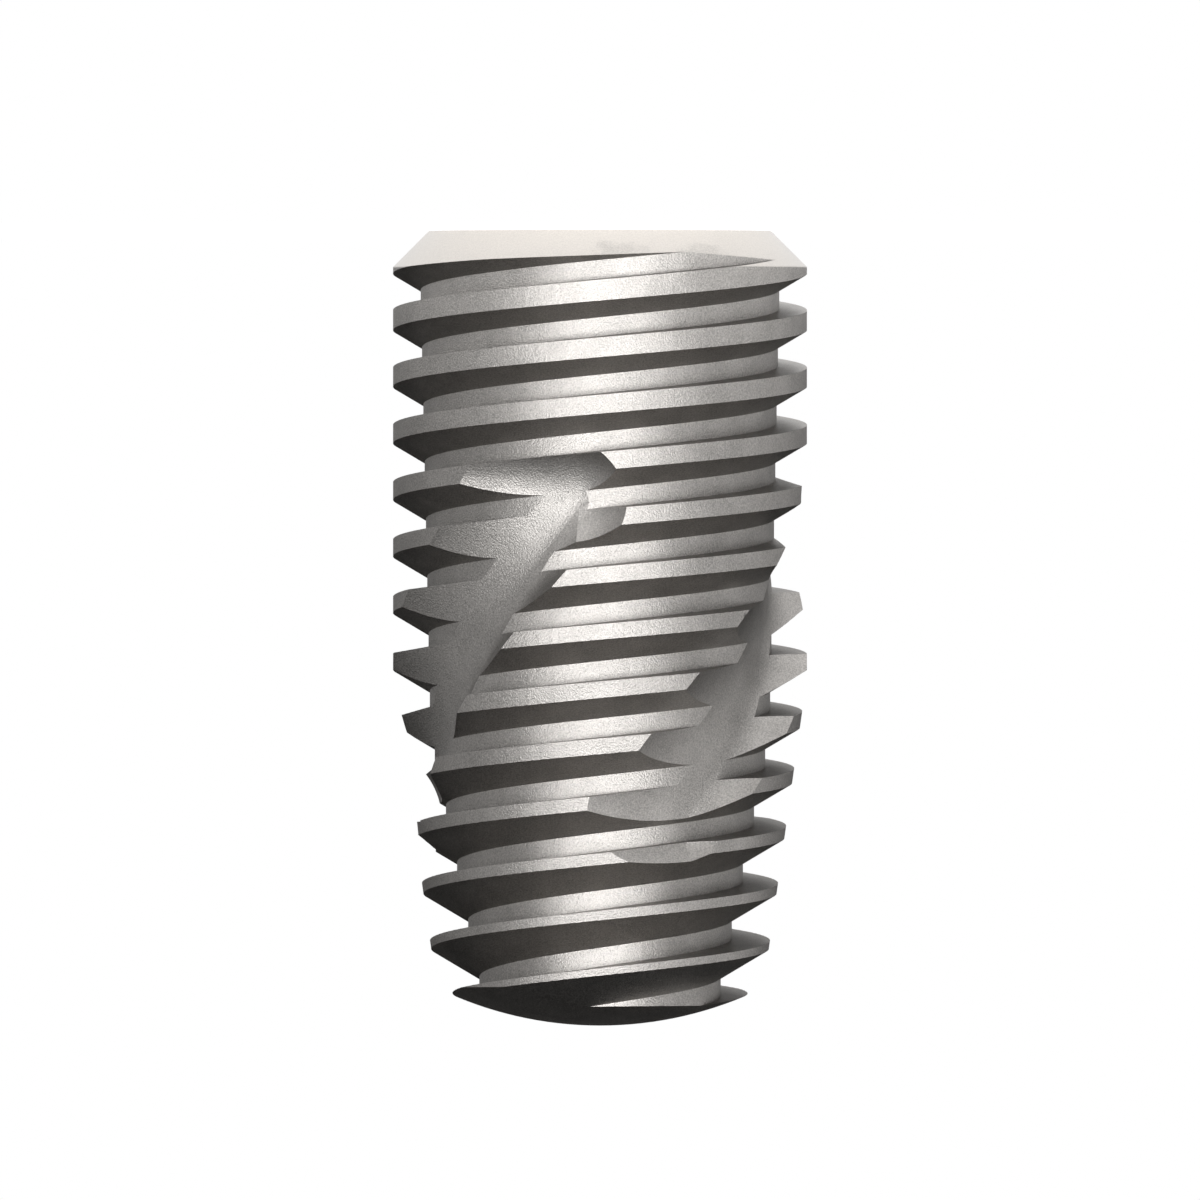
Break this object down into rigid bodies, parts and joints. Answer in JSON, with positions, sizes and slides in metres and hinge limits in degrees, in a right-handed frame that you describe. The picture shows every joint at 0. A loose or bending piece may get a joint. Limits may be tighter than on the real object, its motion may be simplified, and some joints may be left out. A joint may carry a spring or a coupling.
{
  "type": "dental implant",
  "caption": "Threaded titanium dental implant body with buttress thread, cutting flutes, bevelled collar, rounded tip and a hexagon socket in its platform.",
  "frame": {"origin": "centre of the flat platform face, on the implant's axis", "axes": "+Z along the axis from the platform face towards the rounded tip; -Y is the side the picture shows"},
  "size_m": [0.0042, 0.0042, 0.0081],
  "materials": {
    "blasted_titanium": "titanium, blasted and etched to a fine matt grain; the collar bevel, platform and socket are left as turned"
  },
  "bodies": {
    "root": {"implant_body": "blasted_titanium"}
  },
  "joints": []
}
